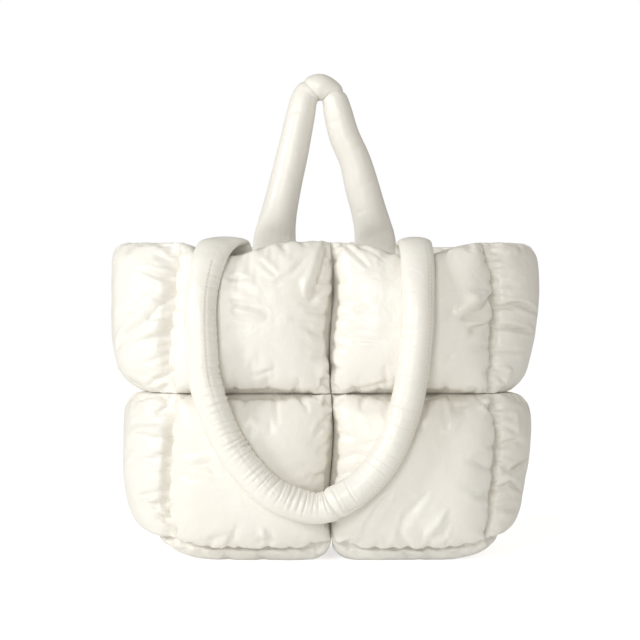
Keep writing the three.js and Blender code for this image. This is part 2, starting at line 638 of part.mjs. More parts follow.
bag.add(namedMesh("front_strap", strapGeometry(frontStrapSections(), FRONT_STRAP_STEPS), STRAP_NYLON));
bag.add(namedMesh("rear_strap", strapGeometry(rearStrapSections(), REAR_STRAP_STEPS), STRAP_NYLON));

// The origin is under the middle of the whole bag, straps and all
const extent = new THREE.Box3().setFromObject(bag);
const middle = extent.getCenter(new THREE.Vector3());
for (const piece of bag.children) piece.geometry.translate(-middle.x, -middle.y, -extent.min.z);

export default bag;
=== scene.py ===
import math

import bpy
import numpy as np
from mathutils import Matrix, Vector


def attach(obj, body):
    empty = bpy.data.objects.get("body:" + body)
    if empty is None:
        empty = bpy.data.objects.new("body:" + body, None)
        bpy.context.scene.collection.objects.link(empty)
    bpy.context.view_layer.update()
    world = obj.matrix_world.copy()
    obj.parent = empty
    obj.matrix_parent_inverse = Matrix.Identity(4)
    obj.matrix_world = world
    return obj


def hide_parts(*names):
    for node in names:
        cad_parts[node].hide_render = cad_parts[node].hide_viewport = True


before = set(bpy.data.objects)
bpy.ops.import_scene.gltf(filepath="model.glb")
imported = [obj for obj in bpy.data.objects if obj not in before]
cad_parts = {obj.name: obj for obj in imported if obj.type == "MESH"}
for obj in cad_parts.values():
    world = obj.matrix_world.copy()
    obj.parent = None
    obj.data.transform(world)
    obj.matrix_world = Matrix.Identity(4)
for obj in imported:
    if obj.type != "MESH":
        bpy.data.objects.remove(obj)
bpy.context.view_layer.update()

# Sizes in millimetres, as in the CAD model
LEFT, RIGHT, FRONT, BACK = -1, 1, -1, 1
BODY_HEIGHT, MID_SEAM_HEIGHT, BASE_SEAM_HEIGHT = 352, 185, 26
PANEL_WIDTH, BASE_DEPTH, TOP_DEPTH = 340, 144, 114
PANEL_CROWN, LEFT_CROWN, RIGHT_CROWN, BASE_CROWN = 41, 36, 33, 36
INNER_CROWN = 11
SEAM_THICKNESS, SEAM_GAP, SEAM_WAVE, SIDE_BASE_LIFT = 2.4, 0.4, 2.2, 12
STRAP_DIAMETER, FRONT_STRAP_DROP, REAR_STRAP_RISE = 35, 287, 187
STRAP_CLEARANCE, STRAP_PRESS = 0.4, 0.8  # the strap lies on this share of a square's crown
RIM_DIP, STRAP_CROSSINGS, CROSSING_WIDTH = 17, (-0.68, 0.54), 0.26
MIDDLE = np.array([-6.449, -14.292, 0])  # of the whole bag with its straps, which stands over the origin
METRE = 0.001

# Shapes of a square's swelling
EDGE_SHARPNESS = {"pressed": 0.28, "tapered": 0.5, "corner": 0.38, "under": 0.3, "rim": 0.26}
CROWN_FLATNESS = 2.7
LEAN_REACH = 0.45  # share of the half width over which a square turns from its seam's lean to its own face

LEVELS = {
    "base": dict(z=BASE_SEAM_HEIGHT, width=0.985, depth=BASE_DEPTH / 2, lean=-1, above="mid"),
    "mid": dict(z=MID_SEAM_HEIGHT, width=1.0, depth=BASE_DEPTH * 0.485, lean=0, above="top"),
    "top": dict(z=BODY_HEIGHT, width=0.97, depth=TOP_DEPTH / 2, lean=0.2),
}
SIDE_BOW = {
    LEFT: dict(base=0.18, mid=0.25, top=0.39),
    RIGHT: dict(base=0.125, mid=0.18, top=0.28),
}

# Cells of the skins along each side: in the cloth, then in the finished skins that show and don't
CLOTH_CELLS, FINE_CELLS, COARSE_CELLS = 54, 118, 84
CLOTH_SCALE, CLOTH_FRAMES, CLOTH_PRESSURE = 10.0, 20, 5.0
FORM_SPREAD = 4.5  # cells over which the broad form is told from the wrinkles
HIGHEST_RIDGE = 2.2  # over the model's surface


def mix(a, b, share):
    return a + (b - a) * share


def unit(*v):
    v = np.array(v, float)
    return v / np.linalg.norm(v)


def normed(v):
    return v / np.maximum(np.linalg.norm(v, axis=-1, keepdims=True), 1e-12)


def smooth(x):
    """0 to 1 with level ends."""
    x = np.clip(x, 0, 1)
    return x * x * (3 - 2 * x)


def vec(x, y, z):
    return np.stack(np.broadcast_arrays(x, y, z), axis=-1).astype(float)


# The seams between the squares, as curves of t from -1 to 1
def corner_x(level, side):
    return side * PANEL_WIDTH * LEVELS[level]["width"] / 2


def panel_y(level, face):
    return face * LEVELS[level]["depth"]


def rim_dip(x, face):
    """How far the hanging strap presses the front rim down at x."""
    if face == BACK:
        return 0 * x
    share = x / (PANEL_WIDTH / 2)
    dips = [np.exp(-(((share - at) / CROSSING_WIDTH) ** 2)) for at in STRAP_CROSSINGS]
    return RIM_DIP * np.maximum(*dips)


def upright(side, face, level):
    above = LEVELS[level]["above"]

    def at(t):
        s = (t + 1) / 2
        x = mix(corner_x(level, side), corner_x(above, side), s) - SEAM_WAVE * np.sin(2 * np.pi * s)
        y = mix(panel_y(level, face), panel_y(above, face), s)
        return vec(x, y, mix(LEVELS[level]["z"], LEVELS[above]["z"], s))

    return dict(axis=2, lean=unit(side, face, 0), at=at)


def cross(level, face, half):
    a = corner_x(level, LEFT) if half == LEFT else 0
    b = 0 if half == LEFT else corner_x(level, RIGHT)

    def at(t):
        x = mix(a, b, (t + 1) / 2)
        dip = rim_dip(x, face) if level == "top" else 0
        return vec(x, panel_y(level, face), LEVELS[level]["z"] - dip)

    return dict(axis=0, lean=unit(0, face, LEVELS[level]["lean"]), at=at)


def along_side(level, side):
    def at(t):
        bow = 1 - t * t
        x = corner_x(level, side) + side * SIDE_BOW[side][level] * BASE_DEPTH * bow
        y = mix(panel_y(level, FRONT), panel_y(level, BACK), (t + 1) / 2)
        return vec(x, y, LEVELS[level]["z"] + (SIDE_BASE_LIFT * bow if level == "base" else 0))

    return dict(axis=1, lean=unit(side, 0, LEVELS[level]["lean"]), at=at)


def floor_seam():
    def at(t):
        y = mix(panel_y("base", FRONT), panel_y("base", BACK), (t + 1) / 2)
        return vec(0, y, BASE_SEAM_HEIGHT)

    return dict(axis=1, lean=unit(0, 0, -1), at=at)


def backwards(seam):
    return dict(seam, at=lambda t: seam["at"](-t))


def same(seam):
    return seam


FACE_NAMES = {FRONT: "front", BACK: "back"}
ROW_NAMES = {"base": "lower", "mid": "upper"}
HALF_NAMES = {LEFT: "left", RIGHT: "right"}


# The squares: four seams each, in the order left, right, bottom, top as seen from outside
def panel(face, half, level):
    """A square of the front or the back. Its level is that of its lower seam."""
    corner, centre = upright(half, face, level), upright(0, face, level)
    turn = same if face == FRONT else backwards
    first = (half == LEFT) == (face == FRONT)
    name = "_".join((FACE_NAMES[face], ROW_NAMES[level], HALF_NAMES[half]))
    return dict(
        name=name,
        seams=[
            corner if first else centre,
            centre if first else corner,
            turn(cross(level, face, half)),
            turn(cross(LEVELS[level]["above"], face, half)),
        ],
        crown=PANEL_CROWN,
        edges=("corner" if first else "pressed", "pressed" if first else "corner")
        + (("pressed", "rim") if level == "mid" else ("under", "pressed")),
        rim=level == "mid",
    )


def side(which, level):
    turn = same if which == RIGHT else backwards
    first = FRONT if which == RIGHT else BACK
    return dict(
        name=HALF_NAMES[which] + "_side_" + ROW_NAMES[level],
        seams=[
            upright(which, first, level),
            upright(which, -first, level),
            turn(along_side(level, which)),
            turn(along_side(LEVELS[level]["above"], which)),
        ],
        crown=LEFT_CROWN if which == LEFT else RIGHT_CROWN,
        edges=("corner", "corner") + (("tapered", "rim") if level == "mid" else ("under", "pressed")),
        rim=level == "mid",
    )


def bottom(half):
    rim, centre = backwards(along_side("base", half)), backwards(floor_seam())
    return dict(
        name="bottom_" + HALF_NAMES[half],
        seams=[
            rim if half == LEFT else centre,
            centre if half == LEFT else rim,
            cross("base", BACK, half),
            cross("base", FRONT, half),
        ],
        crown=BASE_CROWN,
        edges=(("corner", "pressed") if half == LEFT else ("pressed", "corner")) + ("corner", "corner"),
        rim=False,
    )


def base_point(puff, u, v):
    """A point of the flat patch between a square's four seams, u and v from -1 to 1."""
    left, right, low, high = (s["at"] for s in puff["seams"])
    u3, v3 = u[..., None], v[..., None]
    p = low(u) * (1 - v3) / 2 + high(u) * (1 + v3) / 2
    p += left(v) * (1 - u3) / 2 + right(v) * (1 + u3) / 2
    one = np.ones(())
    for a in (-1, 1):
        p -= low(a * one) * (1 + a * u3) * (1 - v3) / 4
        p -= high(a * one) * (1 + a * u3) * (1 + v3) / 4
    return p


def swell_direction(puff, u, v):
    """Square on to the patch in its middle, along each seam's own lean at its edges."""
    e = 0.02
    du = base_point(puff, u + e, v) - base_point(puff, u - e, v)
    dv = base_point(puff, u, v + e) - base_point(puff, u, v - e)
    weights = [1 - smooth(d / LEAN_REACH) for d in (1 + u, 1 - u, 1 + v, 1 - v)]
    out = normed(np.cross(du, dv)) * (1 - np.maximum.reduce(weights))[..., None]
    for seam, w in zip(puff["seams"], weights):
        out = out + seam["lean"] * w[..., None]
    return normed(out)


def crown_height(puff, u, v):
    """The model's swelling of a square, without its folds."""
    left, right, low, high = (EDGE_SHARPNESS[e] for e in puff["edges"])
    rise_u = (1 - np.abs(u) ** CROWN_FLATNESS).clip(0) ** np.where(u < 0, left, right)
    rise_v = (1 - np.abs(v) ** CROWN_FLATNESS).clip(0) ** np.where(v < 0, low, high)
    return puff["crown"] * rise_u * rise_v


def keep_clear(p, puff):
    """Points stay on their own side of the sheets that run through the seams."""
    inside = base_point(puff, np.zeros(()), np.zeros(()))
    seams = puff["seams"][:3] if puff["rim"] else puff["seams"]
    for seam in seams:
        k = seam["axis"]
        ends = seam["at"](np.array([-1.0, 1.0]))
        t = np.clip(2 * (p[..., k] - ends[0, k]) / (ends[1, k] - ends[0, k]) - 1, -1, 1)
        outward = unit(*np.cross(seam["lean"], normed(ends[1] - ends[0])))
        if outward @ (inside - seam["at"](np.zeros(()))) > 0:
            outward = -outward
        over = (p - seam["at"](t)) @ outward + SEAM_GAP / 2
        p = p - np.maximum(over, 0)[..., None] * outward
    return p


def above_floor(p):
    return np.concatenate([p[..., :2], p[..., 2:].clip(0)], axis=-1)


# Meshes
def new_object(name, points, faces):
    """A smooth mesh object from points in metres."""
    mesh = bpy.data.meshes.new(name)
    mesh.from_pydata([tuple(p) for p in points], [], [tuple(f) for f in faces])
    mesh.update()
    mesh.polygons.foreach_set("use_smooth", [True] * len(mesh.polygons))
    obj = bpy.data.objects.new(name, mesh)
    bpy.context.scene.collection.objects.link(obj)
    return obj


def placed(points):
    """From the CAD's millimetres to metres, with the whole bag over the origin."""
    return (points - MIDDLE) * METRE


def shell_faces(n):
    """Quads of an outer and an inner grid of n by n cells, joined round their edges, and that loop."""
    m = n + 1
    faces = []
    for j in range(n):
        for i in range(n):
            a = j * m + i
            faces.append((a, a + 1, a + m + 1, a + m))
            b = a + m * m
            faces.append((b, b + m, b + m + 1, b + 1))
    loop = list(range(n)) + [j * m + n for j in range(n)]
    loop += [n * m + i for i in range(n, 0, -1)] + [j * m for j in range(n, 0, -1)]
    for a, b in zip(loop, loop[1:] + loop[:1]):
        faces.append((a, a + m * m, b + m * m, b))
    return faces, loop


def blow_up(name, points, faces, pinned, growth):
    """Runs Blender's cloth on a closed skin, made larger for it, and gives back its points."""
    scale = METRE * CLOTH_SCALE
    obj = new_object(name + "_cloth", points * scale, faces)
    group = obj.vertex_groups.new(name="pin")
    group.add([int(i) for i in np.flatnonzero(pinned)], 1.0, "REPLACE")
    cloth = obj.modifiers.new("Cloth", "CLOTH")
    s = cloth.settings
    s.quality = 5
    s.mass = 0.3
    s.tension_stiffness = s.compression_stiffness = 25
    s.shear_stiffness = 8
    s.bending_model = "ANGULAR"
    s.bending_stiffness = 0.35
    s.tension_damping = s.compression_damping = s.shear_damping = 5
    s.bending_damping = 0.5
    s.air_damping = 4
    s.vertex_group_mass = "pin"
    s.pin_stiffness = 1
    s.shrink_min = -growth
    s.use_pressure = True
    s.uniform_pressure_force = CLOTH_PRESSURE
    s.effector_weights.gravity = 0
    cloth.collision_settings.use_collision = False
    cloth.collision_settings.use_self_collision = False
    cloth.point_cache.frame_start, cloth.point_cache.frame_end = 1, CLOTH_FRAMES
    scene = bpy.context.scene
    for f in range(1, CLOTH_FRAMES + 1):
        scene.frame_set(f)
    done = obj.evaluated_get(bpy.context.evaluated_depsgraph_get())
    got = np.empty(len(points) * 3)
    done.data.vertices.foreach_get("co", got)
    bpy.data.objects.remove(obj, do_unlink=True)
    scene.frame_set(1)
    return got.reshape(-1, 3) / scale


# Folds of the skins, in the square's own u and v from -1 to 1: start, middle, end, then depth and
# width in millimetres. A depth below nought is a ridge.
FOLDS = {
    "left_side_upper": [
        (0.3, -0.42, 0.76, -0.1, 1.0, 0.31, 4.6, 3.4),
        (0.86, 0.84, 0.93, 0.77, 1.0, 0.69, 1.8, 2.2),
        (0.66, 0.64, 0.86, 0.58, 1.0, 0.49, 2.4, 2.5),
        (0.8, -0.04, 0.9, 0.03, 1.0, 0.11, 1.8, 2),
        (0.76, -0.4, 0.88, -0.3, 1.0, -0.18, 1.8, 2.2),
        (0.84, -0.58, 0.92, -0.53, 1.0, -0.49, 1.5, 2),
        (0.7, -0.9, 0.88, -0.82, 1.0, -0.73, 1.8, 2.2),
        (-1.0, 0.2, -0.7, 0.12, -0.3, -0.06, 2.6, 3),
        (-1.0, -0.5, -0.8, -0.4, -0.5, -0.42, 2, 2.6),
    ],
    "front_upper_left": [
        (0.69, 0.19, 0.84, 0.47, 0.95, 0.88, 7, 5.5),
        (0.22, 0.43, 0.44, 0.52, 0.64, 0.72, 1.5, 2.6),
        (-0.31, 0.17, -0.07, 0.07, 0.17, -0.03, -2.4, 5),
        (-0.34, 0.27, -0.13, 0.2, 0.08, 0.12, 1.6, 3),
        (0.87, -0.77, 0.93, -0.84, 0.99, -0.92, 4, 3),
        (0.91, -0.66, 0.93, -0.61, 0.95, -0.57, -3.5, 6),
        (-0.07, -0.79, 0.12, -0.74, 0.32, -0.68, 1, 2.2),
        (0.01, 0.78, 0.14, 0.65, 0.27, 0.51, 1.1, 2),
        (-0.42, 0.62, -0.26, 0.59, -0.09, 0.56, 1.4, 2.2),
        (0.69, -0.18, 0.84, -0.23, 0.99, -0.28, 1, 3),
    ],
    "front_upper_right": [
        (-0.83, 0.94, -0.68, 0.78, -0.52, 0.63, 1.8, 2.4),
        (-0.73, 0.96, -0.52, 0.86, -0.31, 0.77, 1, 2),
        (-0.88, -0.04, -0.67, -0.29, -0.28, -0.32, 1.3, 2.2),
        (-0.86, -0.98, -0.54, -0.91, -0.22, -0.83, 1.4, 2.2),
        (0.63, -0.03, 0.76, 0.07, 0.91, 0.24, 6, 4),
        (0.59, 0.08, 0.68, 0.21, 0.77, 0.33, -2.6, 4),
        (0.69, -0.27, 0.76, -0.13, 0.86, -0.06, 3, 2.4),
        (0.48, -0.03, 0.57, 0.16, 0.67, 0.34, 2.2, 6),
        (0.48, -0.57, 0.58, -0.45, 0.68, -0.34, 1.4, 3),
    ],
    "right_side_upper": [
        (-0.92, 0.15, -0.72, 0.19, -0.2, 0.1, 3.8, 2.4),
        (-0.97, -0.12, -0.78, -0.12, -0.35, -0.16, 3.8, 2.4),
        (-0.96, -0.71, -0.88, -0.78, -0.81, -0.86, 2.2, 2.4),
        (-0.83, -0.72, -0.78, -0.7, -0.74, -0.67, -2.5, 4),
        (-0.56, 0.97, -0.61, 0.88, -0.66, 0.78, 1.4, 2.2),
        (-0.95, -0.42, -0.73, -0.43, -0.5, -0.44, 1.2, 2.4),
        (1.0, 0.3, 0.7, 0.2, 0.3, 0.05, 2.6, 3),
        (1.0, -0.4, 0.8, -0.36, 0.4, -0.45, 2.2, 2.6),
    ],
    "left_side_lower": [
        (0.66, 0.93, 0.84, 0.96, 1.0, 0.94, 3.5, 3),
        (0.8, 0.62, 0.92, 0.76, 1.0, 0.86, 4.5, 4.5),
        (0.5, 0.45, 0.8, 0.5, 1.0, 0.3, -2.6, 4),
        (0.5, 0.58, 0.76, 0.61, 1.0, 0.6, 2.2, 2.6),
        (0.64, -0.5, 0.84, -0.42, 1.0, -0.36, 2.8, 2.6),
        (0.84, -0.6, 0.92, -0.54, 1.0, -0.48, 4, 3.6),
        (0.78, -0.5, 0.88, -0.64, 1.0, -0.74, 3, 2.2),
        (0.72, 0.05, 0.86, 0.09, 1.0, 0.16, 1.5, 2.6),
        (-1.0, 0.3, -0.75, 0.2, -0.4, 0.22, 2.4, 3),
    ],
    "front_lower_left": [
        (-0.72, 0.02, -0.57, 0.06, -0.42, -0.09, 2.6, 3.6),
        (0.11, -0.76, 0.14, -0.74, 0.16, -0.72, -2, 3),
        (0.03, -0.81, 0.12, -0.81, 0.21, -0.81, 1.6, 2),
        (0.87, 0.83, 0.95, 0.93, 0.99, 0.86, 3.6, 2.4),
        (0.74, 0.43, 0.84, 0.58, 0.96, 0.72, 2.6, 2.6),
        (0.78, 0.18, 0.89, 0.28, 0.99, 0.38, 1.6, 2.6),
        (0.76, -0.19, 0.88, -0.09, 0.99, 0.01, 1.2, 2.6),
        (-0.63, -0.83, -0.46, -0.78, -0.29, -0.74, 1.2, 2.2),
    ],
    "front_lower_right": [
        (-0.58, -0.74, -0.46, -0.61, -0.18, -0.29, 2.6, 3),
        (-0.77, -0.89, -0.58, -0.68, -0.36, -0.46, -2, 3),
        (-0.11, -0.68, 0.06, -0.53, 0.27, -0.29, 2, 3.6),
        (0.21, -0.76, 0.38, -0.67, 0.53, -0.52, -2, 3),
        (0.31, -0.79, 0.43, -0.74, 0.54, -0.68, 1.8, 2.6),
        (0.52, 0.9, 0.6, 0.87, 0.69, 0.84, 4, 9),
        (0.91, 0.9, 0.94, 0.93, 0.97, 0.95, -3, 3),
        (0.81, 0.89, 0.86, 0.85, 0.91, 0.82, 2.2, 2.4),
        (-0.86, -0.98, -0.77, -0.89, -0.67, -0.79, 2.6, 2.4),
        (0.89, -0.34, 0.92, -0.43, 0.94, -0.51, 1.2, 2.4),
    ],
    "right_side_lower": [
        (-0.97, 0.04, -0.77, -0.08, -0.4, 0.1, 2.8, 2.4),
        (-0.97, -0.36, -0.77, -0.26, -0.45, -0.46, 2.8, 2.4),
        (-0.97, 0.27, -0.85, 0.32, -0.7, 0.36, 2, 2.4),
        (-0.97, 0.61, -0.86, 0.53, -0.74, 0.47, 2, 2.2),
        (-0.74, 0.74, -0.72, 0.59, -0.71, 0.44, -1.6, 3),
        (-0.96, -0.58, -0.69, -0.64, -0.4, -0.69, 2, 2.4),
        (-0.82, 0.88, -0.58, 0.88, -0.34, 0.87, 1.6, 2.6),
        (1.0, 0.1, 0.7, 0.18, 0.4, 0.05, 2.4, 3),
    ],
    "bottom_left": [
        (-0.59, 0.99, -0.48, 0.92, -0.38, 0.8, 1.8, 2.2),
        (0.03, 0.99, 0.12, 0.93, 0.21, 0.87, 1.5, 2.4),
        (0.62, 0.97, 0.75, 0.86, 0.88, 0.76, 1.6, 2.4),
    ],
    "bottom_right": [
        (-0.21, 0.99, -0.12, 0.9, -0.02, 0.78, 2, 2.4),
        (0.04, 0.99, 0.2, 0.93, 0.36, 0.84, 2, 2.6),
        (0.28, 0.99, 0.47, 0.88, 0.66, 0.77, 1.8, 2.6),
        (-0.76, 0.97, -0.69, 0.91, -0.61, 0.84, 1.5, 2.4),
    ],
    "back_upper_left": [
        (-0.98, 0.5, -0.7, 0.4, -0.35, 0.42, 2.4, 3),
        (0.98, -0.4, 0.7, -0.3, 0.4, -0.34, 2, 3),
    ],
    "back_upper_right": [
        (-0.98, -0.5, -0.75, -0.35, -0.4, -0.3, 2.6, 3),
        (0.98, 0.45, 0.7, 0.36, 0.45, 0.4, 2, 3),
    ],
    "back_lower_left": [(-0.98, 0.3, -0.7, 0.35, -0.4, 0.26, 2.4, 3)],
    "back_lower_right": [(0.98, 0.2, 0.72, 0.28, 0.42, 0.2, 2.4, 3)],
}
# How deep the gathers are at each square's four seams, in millimetres: left, right, low, high
PLAIN_GATHERS = (0.9, 0.9, 0.9, 0.9)
GATHERS = {
    "left_side_upper": (0.9, 1.6, 0.9, 0.5),
    "left_side_lower": (0.9, 1.4, 0.8, 0.9),
    "right_side_upper": (1.5, 0.9, 1.0, 0.5),
    "right_side_lower": (2.0, 0.9, 0.8, 0.9),
    "front_upper_left": (0.6, 0.35, 0.3, 0.35),
    "front_upper_right": (0.3, 0.6, 0.25, 0.4),
    "front_lower_left": (0.35, 0.5, 0.45, 0.25),
    "front_lower_right": (0.3, 0.5, 0.6, 0.35),
}


def furrow(a, power, ridge, at):
    """A furrow 1 deep and 1 wide, with a low ridge along each side."""
    return -np.exp(-(a**power)) + ridge * np.exp(-(((a - at) / 1.1) ** 2))


def fold_field(u, v, size, folds):
    """Millimetres that the folds move each point along the outward direction."""
    total = np.zeros_like(u)
    x, y = u * size[0], v * size[1]
    for u0, v0, u1, v1, u2, v2, depth, width in folds:
        pts = np.array([(u0, v0), (u1, v1), (u2, v2)])
        for a, b in ((0, 1), (2, 1)):
            if np.abs(pts[a]).max() > 0.9:
                pts[a] += 0.15 * unit(*(pts[a] - pts[b]))
        pts = pts * size
        best, where = np.full_like(u, 1e9), np.zeros_like(u)
        for k in (0, 1):
            a, d = pts[k], pts[k + 1] - pts[k]
            t = (((x - a[0]) * d[0] + (y - a[1]) * d[1]) / (d @ d)).clip(0, 1)
            away = np.hypot(x - a[0] - t * d[0], y - a[1] - t * d[1])
            near = away < best
            best, where = np.where(near, away, best), np.where(near, (k + t) / 2, where)
        fade = 1 - np.abs(2 * where - 1) ** 3
        a = best / (width * (0.45 + 0.55 * fade))
        if depth > 0:
            total += depth * fade * furrow(a, 1.2, 0.4, 2.3)
        else:
            total -= depth * fade * np.exp(-(a**1.6))
    return total


def gather_field(u, v, size, rng, depths):
    """Small pleats that run into the square from its seams."""
    total = np.zeros_like(u)
    w, h = size
    edges = (
        (v * h, (1 + u) * w, h),
        (v * h, (1 - u) * w, h),
        (u * w, (1 + v) * h, w),
        (u * w, (1 - v) * h, w),
    )
    for (along, away, half), depth in zip(edges, depths):
        at = -half + rng.uniform(2, 8)
        while at < half - 3:
            strength, reach = rng.uniform(0.25, 1) ** 1.5, rng.uniform(7, 24)
            slant, wide = rng.uniform(-0.45, 0.45), rng.uniform(1.1, 2.2)
            d = np.abs(along - at - slant * away) / (wide + 0.07 * away)
            fade = smooth(away / 4) * np.exp(-((away / reach) ** 1.5))
            total += depth * strength * fade * furrow(d, 1.3, 0.4, 2.2)
            at += rng.uniform(5, 13)
    return total


def swell_field(u, v, size, rng, height, waves, shortest, longest):
    """Soft waves in many directions, about height millimetres high."""
    total = np.zeros_like(u)
    for _ in range(waves):
        turn, length, phase = rng.uniform(0, np.pi), rng.uniform(shortest, longest), rng.uniform(0, 6.3)
        along = np.cos(turn) * u * size[0] + np.sin(turn) * v * size[1]
        total += np.sin(along * 2 * np.pi / length + phase)
    return total * height / waves**0.5


def seam_grid(cells):
    """u and v of a grid whose cells are narrower at the seams."""
    s = np.linspace(-1, 1, cells + 1)
    line = 0.45 * s + 0.55 * np.sin(np.pi / 2 * s)
    return np.meshgrid(line, line)


def from_edge(u, v, size):
    """Millimetres to the nearest seam."""
    return np.minimum((1 - np.abs(u)) * size[0], (1 - np.abs(v)) * size[1])


def grid_normal(grid):
    return normed(np.cross(np.gradient(grid, axis=1), np.gradient(grid, axis=0)))


def finer(grid, n):
    """The same sheet with n cells a side, along cubic B-splines."""
    m = grid.shape[0]
    t = np.linspace(0, m - 1, n + 1)
    i = np.minimum(t.astype(int), m - 2)
    f = t - i
    parts = ((1 - f) ** 3, 3 * f**3 - 6 * f**2 + 4, -3 * f**3 + 3 * f**2 + 3 * f + 1, f**3)
    w = np.zeros((n + 1, m + 2))
    for k, part in enumerate(parts):
        w[np.arange(n + 1), i + k] += part / 6
    w[:, 1] += 2 * w[:, 0]
    w[:, 2] -= w[:, 0]
    w[:, m] += 2 * w[:, m + 1]
    w[:, m - 1] -= w[:, m + 1]
    w = w[:, 1 : m + 1]
    return np.einsum("ai,bj,ijk->abk", w, w, grid)


def clear_of_straps(p, straps):
    """Points that would lie inside a strap sink back to the side of it that faces the bag."""
    for line, tangent, out, across, wide, thick in straps:
        for start in range(0, len(p), 4000):
            q = p[start : start + 4000]
            k = ((q[:, None] - line[None]) ** 2).sum(2).argmin(1)
            d = q - line[k]
            x, y = (d * across[k]).sum(1), (d * out[k]).sum(1)
            a, b = wide[k] + 0.9, thick[k] + 0.9
            inside = (np.abs(x) < a) & (y < b + 8)
            rear = -b * np.sqrt((1 - (x / a) ** 2).clip(0))
            push = np.where(inside & (np.abs((d * tangent[k]).sum(1)) < 4), (y - rear).clip(0), 0)
            p[start : start + 4000] = q - out[k] * push[:, None]
    return p


def sheet_start(puff, u, v, size, rng, folds, start):
    """The outer and inner sheets before they are blown up, and the model's surface that they aim for."""
    base, way = base_point(puff, u, v), swell_direction(puff, u, v)
    crown = crown_height(puff, u, v)
    rise = ((1 - np.abs(u) ** 2.6) * (1 - np.abs(v) ** 2.6)).clip(0)
    lumps = 0.5 * fold_field(u, v, size, folds) + swell_field(u, v, size, rng, 0.5, 9, 22, 70)
    wanted = above_floor(keep_clear(base + way * (SEAM_THICKNESS / 2 + crown)[..., None], puff))
    outer = base + way * (SEAM_THICKNESS / 2 + start * crown + lumps * rise**0.5)[..., None]
    inner = base - way * (SEAM_THICKNESS / 2 + 8 * rise**0.6)[..., None]
    return base, way, wanted, outer, inner


def blown_sheets(puff, outer, inner, growth):
    """Both sheets after the cloth, which holds them along the seams and lets them gather there."""
    m = CLOTH_CELLS + 1
    points = np.concatenate([outer.reshape(-1, 3), inner.reshape(-1, 3)])
    points = above_floor(keep_clear(points, puff))
    faces, loop = shell_faces(CLOTH_CELLS)
    pinned = np.zeros(len(points), bool)
    pinned[loop] = True
    pinned[[i + m * m for i in loop]] = True
    points = blow_up(puff["name"], points, faces, pinned, growth)
    return points[: m * m].reshape(m, m, 3), points[m * m :].reshape(m, m, 3)


def like_model(outer, wanted, edge):
    """The outer sheet's broad form goes back to the model's, and its wrinkles stay."""
    cells = np.arange(CLOTH_CELLS + 1)
    spread = np.exp(-(((cells[:, None] - cells) / FORM_SPREAD) ** 2))
    spread /= spread.sum(1, keepdims=True)
    off = np.einsum("ai,bj,ijk->abk", spread, spread, wanted - outer)
    outer = outer + off * smooth(edge / 6)[..., None]
    normal = grid_normal(wanted)
    ridge = ((outer - wanted) * normal).sum(2).clip(0)
    return outer - normal * (ridge - HIGHEST_RIDGE * np.tanh(ridge / HIGHEST_RIDGE))[..., None]


def build_puff(puff, order, straps, fine, start, growth):
    """A stuffed square's skin: blown up over its seams, then with its folds and gathers."""
    rng = np.random.default_rng(100 + order)
    name = puff["name"]
    folds, gathers = FOLDS.get(name, []), GATHERS.get(name, PLAIN_GATHERS)
    u, v = seam_grid(CLOTH_CELLS)
    base = base_point(puff, u, v)
    across, along = base[:, -1] - base[:, 0], base[-1, :] - base[0, :]
    size = np.array([np.linalg.norm(d, axis=1).mean() for d in (across, along)]) / 2
    base, way, wanted, outer, inner = sheet_start(puff, u, v, size, rng, folds, start)
    outer, inner = blown_sheets(puff, outer, inner, growth)
    outer = like_model(outer, wanted, from_edge(u, v, size))
    depth = ((base - inner) * way).sum(2)
    inner = inner + way * (depth - INNER_CROWN * np.tanh(depth / INNER_CROWN))[..., None]

    outer, inner = finer(outer, fine), finer(inner, fine)
    u, v = seam_grid(fine)
    detail = fold_field(u, v, size, folds) + gather_field(u, v, size, rng, gathers)
    detail += swell_field(u, v, size, rng, 0.15, 12, 16, 45)
    detail *= smooth(from_edge(u, v, size) / 3)
    outer = outer + grid_normal(outer) * detail[..., None]
    points = np.concatenate([outer.reshape(-1, 3), inner.reshape(-1, 3)])
    if name.startswith(("front", "back_upper")):
        points = clear_of_straps(points, straps)
    faces, _ = shell_faces(fine)
    return new_object(name + "_skin", placed(above_floor(keep_clear(points, puff))), faces)


